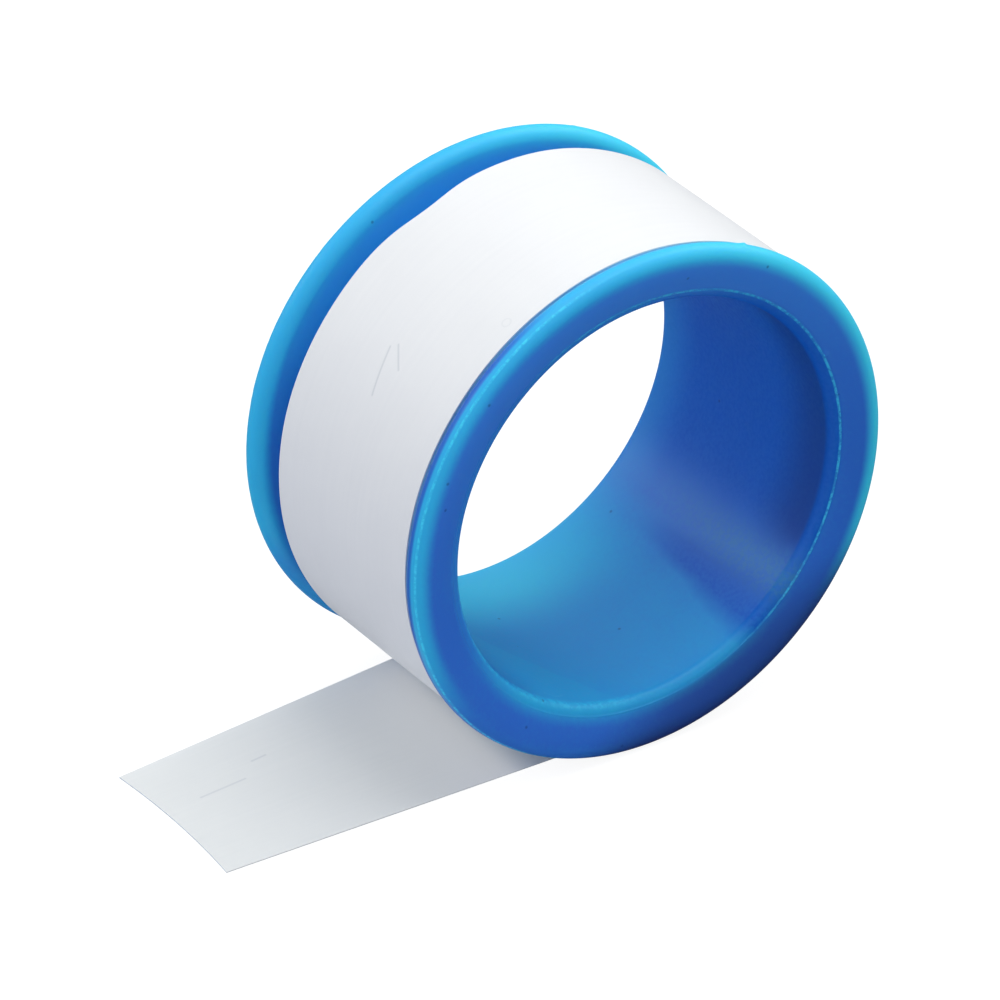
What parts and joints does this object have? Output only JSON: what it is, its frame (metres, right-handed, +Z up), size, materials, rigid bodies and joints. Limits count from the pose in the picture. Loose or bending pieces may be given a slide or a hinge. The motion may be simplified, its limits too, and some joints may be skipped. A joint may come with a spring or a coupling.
{
  "type": "thread seal tape roll",
  "caption": "Roll of white thread seal tape wound on an open blue plastic spool, with the end of the tape laid out flat.",
  "frame": {"origin": "centre of the spool's bore, halfway between the two flange faces", "axes": "+Y along the spool's axis, towards the flange that stands clear of the tape; +Z up with the roll standing on both rims; the tail of the tape lies out towards -X"},
  "size_m": [0.0632, 0.0264, 0.047],
  "materials": {
    "spool_plastic": "moulded blue polyolefin, soft gloss, slightly translucent at the rims",
    "tape_film": "smooth white unsintered PTFE film with a soft waxy sheen"
  },
  "bodies": {
    "tail": {"tape_tail": "tape_film"},
    "roll": {"spool": "spool_plastic", "wound_tape": "tape_film", "outer_turn": "tape_film"}
  },
  "joints": [
    {"name": "roll_turn", "type": "hinge", "parent": "tail", "child": "roll", "pos_m": [0, 0, 0], "axis": [0, 1, 0], "continuous": true}
  ]
}
